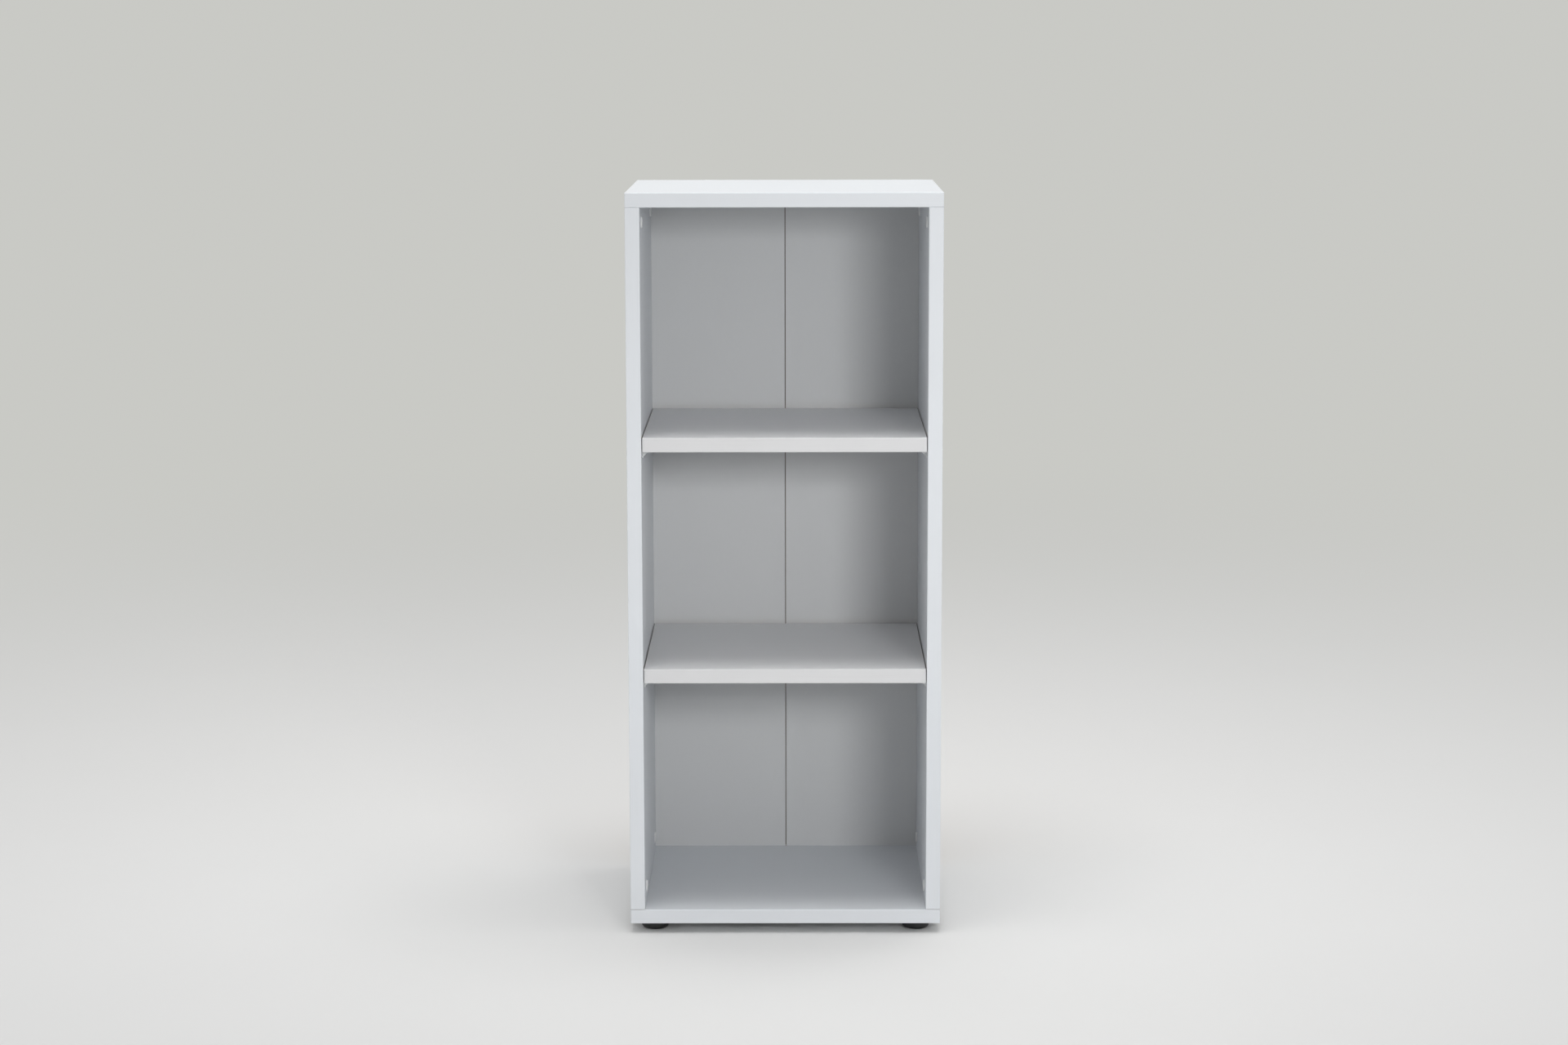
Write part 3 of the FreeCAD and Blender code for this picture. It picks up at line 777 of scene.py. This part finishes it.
def thread_mesh(name, looks, low, high):
    """A stud with a right-hand thread, tapered at both ends."""
    shape = bmesh.new()
    centre = (low + high) / 2
    radius = (high.x - low.x) / 2
    tall = high.z - low.z
    chamfer = radius * 0.25
    rows = round(tall / looks.pitch * THREAD_STEPS)
    rings = []
    for row in range(rows + 1):
        height = tall * row / rows
        taper = max(0.0, chamfer - min(height, tall - height))
        ring = []
        for column in range(THREAD_SIDES):
            turn = column / THREAD_SIDES
            phase = (height / looks.pitch - turn) % 1.0
            slope = (abs(2 * phase - 1) - THREAD_FLAT) / (1 - 2 * THREAD_FLAT)
            ridge = min(1.0, max(0.0, slope))
            reach = min(radius - looks.thread_depth * (1 - ridge), radius - taper)
            angle = 2 * math.pi * turn
            x = centre.x + reach * math.cos(angle)
            y = centre.y + reach * math.sin(angle)
            ring.append(shape.verts.new((x, y, low.z + height)))
        rings.append(ring)
    for lower, upper in zip(rings, rings[1:]):
        for column in range(THREAD_SIDES):
            after = (column + 1) % THREAD_SIDES
            shape.faces.new((lower[column], lower[after], upper[after], upper[column]))
    shape.faces.new(rings[0])
    shape.faces.new(rings[-1])
    return smooth_mesh(name, shape, crease=50.0)


def pad_mesh(name, looks, low, high):
    """A round bowl that stands on a flat ring, with a soft rim and a socket for the stud."""
    radius = (high.x - low.x) / 2
    top = high.z - low.z
    foot, bowl, edge = looks.pad_foot, looks.pad_bowl, looks.pad_edge
    hollow = looks.pad_hollow
    groove = top - looks.pad_groove
    socket, socket_floor = radius * 0.215, top * 0.35
    profile = [(0.0, hollow), (foot * 0.55, hollow), (foot * 0.62, 0.0), (foot, 0.0)]
    profile += arc((foot, bowl), (radius - foot, bowl), -82, 0, 16)
    profile += arc((radius - edge, top - edge), (edge, edge), 0, 90, 5)
    profile += [(radius * 0.52, top), (radius * 0.49, groove)]
    profile += [(radius * 0.30, groove), (radius * 0.28, top)]
    profile += [(socket, top), (socket, socket_floor), (0.0, socket_floor)]
    shape = bmesh.new()
    centre = Matrix.Translation(((low.x + high.x) / 2, (low.y + high.y) / 2, low.z))
    turned(shape, profile, looks.sides, centre)
    return smooth_mesh(name, shape)


# Operators
class BOOKCASE_OT_boards(bpy.types.Operator):
    """Give every board its white facing and its raw cut edges"""

    bl_idname = "bookcase.boards"
    bl_label = "Boards"

    def execute(self, context):
        for node in BOARDS:
            wear(faced_board(node, context.scene.bookcase_boards), node)
        return {"FINISHED"}


class BOOKCASE_OT_bands(bpy.types.Operator):
    """Give the edge bands their plastic"""

    bl_idname = "bookcase.bands"
    bl_label = "Edge bands"

    def execute(self, context):
        for node in BANDS:
            wear(edge_band(node, context.scene.bookcase_boards), node)
        return {"FINISHED"}


class BOOKCASE_OT_back(bpy.types.Operator):
    """Lacquer the front of the back, leave its rear raw, and finish the tape"""

    bl_idname = "bookcase.back"
    bl_label = "Back"

    def execute(self, context):
        looks = context.scene.bookcase_boards
        for node in LEAVES:
            wear(back_leaf(node, looks), node)
        wear(cloth_tape(looks), "back_tape")
        return {"FINISHED"}


class BOOKCASE_OT_metal(bpy.types.Operator):
    """Finish the locks, bolts and sleeves inside the boards"""

    bl_idname = "bookcase.metal"
    bl_label = "Metal fittings"

    def execute(self, context):
        looks = context.scene.bookcase_fittings
        wear(cast_zinc(looks), "joint_locks")
        wear(plated_steel(looks), "joint_bolts", "foot_sleeves")
        return {"FINISHED"}


class BOOKCASE_OT_caps(bpy.types.Operator):
    """Build the crowned cover caps on the sides"""

    bl_idname = "bookcase.caps"
    bl_label = "Cover caps"

    def execute(self, context):
        looks = context.scene.bookcase_fittings
        low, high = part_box("joint_caps")
        radius = looks.cap_radius
        shape = bmesh.new()
        for face, inward in inner_faces():
            for y in (low.y + radius, high.y - radius):
                for z in (low.z + radius, high.z - radius):
                    spot = Matrix.Translation((face, y, z))
                    turn = Matrix.Rotation(inward * math.pi / 2, 4, "Y")
                    turned(shape, cap_profile(looks), looks.sides, spot @ turn)
        mesh = smooth_mesh("cover_caps", shape)
        add_piece("cover_caps", mesh, moulded_white(looks), "carcass", "joint_caps")
        return {"FINISHED"}


class BOOKCASE_OT_supports(bpy.types.Operator):
    """Build the clear supports under the shelves"""

    bl_idname = "bookcase.supports"
    bl_label = "Shelf supports"

    def execute(self, context):
        looks = context.scene.bookcase_fittings
        material = clear_plastic(looks)
        for shelf in SHELVES:
            node = f"{shelf}_supports"
            low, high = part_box(node)
            master = support_mesh(looks, high.z - low.z)
            half = looks.support_width / 2
            shape = bmesh.new()
            for face, inward in inner_faces():
                for y in (low.y + half, high.y - half):
                    spot = Matrix.Translation((face, y, high.z - looks.pin_drop))
                    turn = Matrix.Rotation(0.0 if inward > 0 else math.pi, 4, "Z")
                    placed = master.copy()
                    placed.transform(spot @ turn)
                    shape.from_mesh(placed)
            mesh = smooth_mesh(f"{shelf}_brackets", shape)
            add_piece(f"{shelf}_brackets", mesh, material, "carcass", node)
        return {"FINISHED"}


class BOOKCASE_OT_feet(bpy.types.Operator):
    """Build the threaded studs and the round pads of the feet"""

    bl_idname = "bookcase.feet"
    bl_label = "Levelling feet"

    def execute(self, context):
        looks = context.scene.bookcase_fittings
        steel = plated_steel(looks)
        black = black_plastic(looks, *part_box("front_left_foot_pad"))
        for corner in CORNERS:
            node = f"{corner}_foot_stud"
            mesh = thread_mesh(f"{corner}_thread", looks, *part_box(node))
            add_piece(f"{corner}_thread", mesh, steel, f"{corner}_stud", node)
            node = f"{corner}_foot_pad"
            mesh = pad_mesh(f"{corner}_bowl", looks, *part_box(node))
            add_piece(f"{corner}_bowl", mesh, black, f"{corner}_pad", node)
        return {"FINISHED"}


def add_softbox(name, watts, place, target, size, mirrored=False):
    """A rectangular lamp that faces a point and shows in gloss only where it is mirrored."""
    lamp = bpy.data.lights.new(name, "AREA")
    lamp.shape = "RECTANGLE"
    lamp.size, lamp.size_y = size
    lamp.energy = watts
    holder = bpy.data.objects.new(name, lamp)
    holder.location = place
    holder.rotation_euler = (Vector(target) - Vector(place)).to_track_quat("-Z", "Y").to_euler()
    holder.visible_camera = False
    holder.visible_glossy = mirrored
    bpy.context.scene.collection.objects.link(holder)
    return lamp


class BOOKCASE_OT_studio(bpy.types.Operator):
    """Set up the floor, the backdrop, the lamps and the camera"""

    bl_idname = "bookcase.studio"
    bl_label = "Studio"

    def execute(self, context):
        looks = context.scene.bookcase_studio
        self.add_floor(looks)
        self.add_world(context.scene, looks)
        key = add_softbox("key_softbox", looks.key, mirrored=True, **KEY)
        key.spread = KEY_SPREAD
        add_softbox("overhead_softbox", looks.overhead, **OVERHEAD)
        add_softbox("rear_left_softbox", looks.rear, **REAR_LEFT)
        add_softbox("rear_right_softbox", looks.rear, **REAR_RIGHT)
        self.add_camera(context.scene, looks)
        context.scene.view_settings.view_transform = "Standard"
        return {"FINISHED"}

    def add_floor(self, looks):
        """A pale round floor that is seen in the backdrop's colour far away."""
        shape = bmesh.new()
        bmesh.ops.create_circle(shape, cap_ends=True, radius=FLOOR_RADIUS, segments=FLOOR_SIDES)
        floor = bpy.data.objects.new("floor", smooth_mesh("floor", shape))
        bpy.context.scene.collection.objects.link(floor)
        finish = Finish("studio_floor", Roughness=0.75)
        place = finish.place()
        grain = finish.noise(place, 3.0, detail=4.0)
        near = finish.tint(grain, dimmed(looks.floor, 0.985), looks.floor)
        finish.feed(finish.shader.inputs["Base Color"], near)
        reach = finish.node("ShaderNodeVectorMath", {"operation": "LENGTH"}, {0: place}, "Value")
        far = finish.fade(reach, *FLOOR_FADE) * finish.shown()
        glow = finish.node("ShaderNodeEmission", sockets={"Color": looks.backdrop, "Strength": 1.0})
        shaded = Signal(finish.shader.outputs[0])
        blend = finish.node("ShaderNodeMixShader", sockets={0: far, 1: shaded, 2: glow})
        finish.feed(finish.tree.nodes["Material Output"].inputs["Surface"], blend)
        floor.data.materials.append(finish.material)

    def add_world(self, scene, looks):
        """Even white light all round, seen in the backdrop's colour."""
        world = bpy.data.worlds.new("studio")
        scene.world = world
        world.use_nodes = True
        world.node_tree.nodes.clear()
        sky = Tree(world.node_tree)
        light = {"Color": (1.0, 1.0, 1.0), "Strength": looks.ambient}
        even = sky.node("ShaderNodeBackground", sockets=light)
        seen = sky.node("ShaderNodeBackground", sockets={"Color": looks.backdrop, "Strength": 1.0})
        blend = sky.node("ShaderNodeMixShader", sockets={0: sky.shown(), 1: even, 2: seen})
        output = world.node_tree.nodes.new("ShaderNodeOutputWorld")
        sky.feed(output.inputs["Surface"], blend)

    def add_camera(self, scene, looks):
        """A camera that looks slightly down at the front."""
        camera = bpy.data.objects.new("camera", bpy.data.cameras.new("camera"))
        scene.collection.objects.link(camera)
        camera.data.sensor_width = SENSOR_WIDTH
        camera.data.lens = looks.lens
        yaw = Matrix.Rotation(looks.yaw, 4, "Z")
        pitch = Matrix.Rotation(math.pi / 2 - looks.pitch, 4, "X")
        roll = Matrix.Rotation(looks.roll, 4, "Z")
        camera.matrix_world = Matrix.Translation(looks.camera_place) @ (yaw @ pitch) @ roll
        scene.camera = camera


class BOOKCASE_PT_panel(bpy.types.Panel):
    """Lists the bookcase's pieces and their settings"""

    bl_idname = "BOOKCASE_PT_panel"
    bl_label = "Bookcase"
    bl_space_type = "VIEW_3D"
    bl_region_type = "UI"
    bl_category = "Bookcase"

    def draw(self, context):
        for operator in OPERATORS:
            self.layout.operator(operator.bl_idname)
        for name in GROUPS:
            box = self.layout.box()
            settings = getattr(context.scene, name)
            for setting in settings.__annotations__:
                box.prop(settings, setting)


OPERATORS = (
    BOOKCASE_OT_boards,
    BOOKCASE_OT_bands,
    BOOKCASE_OT_back,
    BOOKCASE_OT_metal,
    BOOKCASE_OT_caps,
    BOOKCASE_OT_supports,
    BOOKCASE_OT_feet,
    BOOKCASE_OT_studio,
)
GROUPS = {
    "bookcase_boards": BoardLooks,
    "bookcase_fittings": FittingLooks,
    "bookcase_studio": StudioLooks,
}


def register():
    for group in GROUPS.values():
        bpy.utils.register_class(group)
    for name, group in GROUPS.items():
        setattr(bpy.types.Scene, name, PointerProperty(type=group))
    for operator in OPERATORS:
        bpy.utils.register_class(operator)
    bpy.utils.register_class(BOOKCASE_PT_panel)


def unregister():
    bpy.utils.unregister_class(BOOKCASE_PT_panel)
    for operator in reversed(OPERATORS):
        bpy.utils.unregister_class(operator)
    for name, group in GROUPS.items():
        delattr(bpy.types.Scene, name)
        bpy.utils.unregister_class(group)


def main():
    """Dress the bookcase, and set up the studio."""
    register()
    bpy.ops.bookcase.boards()
    bpy.ops.bookcase.bands()
    bpy.ops.bookcase.back()
    bpy.ops.bookcase.metal()
    bpy.ops.bookcase.caps()
    bpy.ops.bookcase.supports()
    bpy.ops.bookcase.feet()
    bpy.ops.bookcase.studio()


if __name__ == "__main__":
    main()
